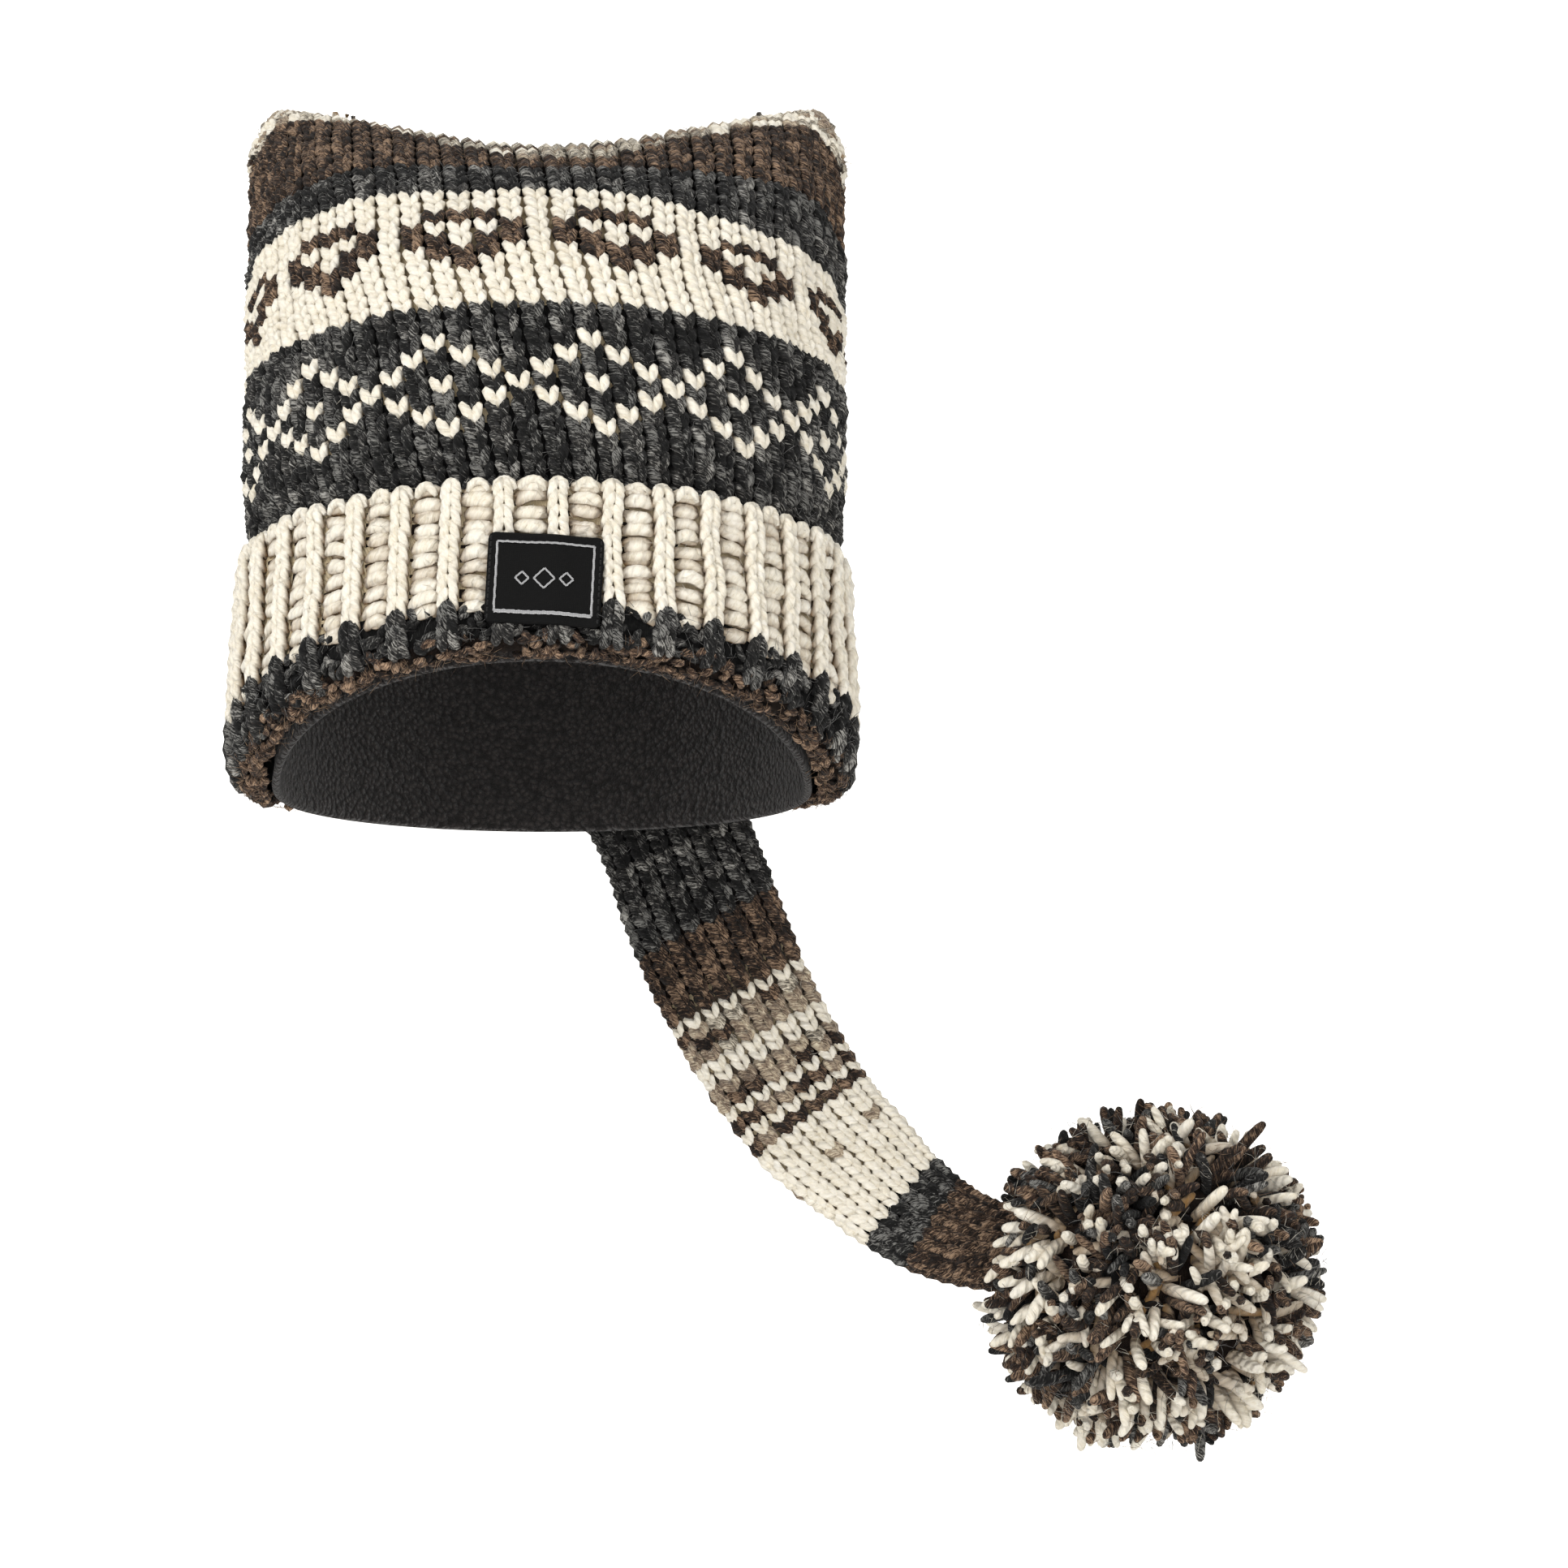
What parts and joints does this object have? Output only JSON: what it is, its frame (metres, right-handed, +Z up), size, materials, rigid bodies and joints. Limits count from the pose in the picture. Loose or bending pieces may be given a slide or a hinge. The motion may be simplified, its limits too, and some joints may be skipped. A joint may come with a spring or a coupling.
{
  "type": "stocking cap",
  "caption": "Hand-knitted wool cap with two raised corners, a turned-up rib cuff, a fleece lining and a long flat tail that ends in a yarn pompom.",
  "frame": {"origin": "the point at the top inside the lining where the crown of a head bears", "axes": "+Z up, the front with the patch faces -Y, +X to the right of a viewer who faces the front"},
  "size_m": [0.3658, 0.2504, 0.4453],
  "materials": {
    "crown_wool": "chunky stockinette knit in charcoal, ecru and brown heather wool",
    "cuff_wool": "ecru 1x1 rib with a charcoal and brown wool edge",
    "fleece": "black fleece with a short pile",
    "label_satin": "black woven patch with a thin silver border line",
    "tail_wool": "stockinette knit in bands of charcoal, brown, oatmeal and ecru wool",
    "pompom_yarn": "cut wool yarn ends in ecru, brown heather and charcoal"
  },
  "bodies": {
    "root": {"crown": "crown_wool", "cuff": "cuff_wool", "lining": "fleece", "label": "label_satin", "tail": "tail_wool", "pompom": "pompom_yarn"}
  },
  "joints": []
}
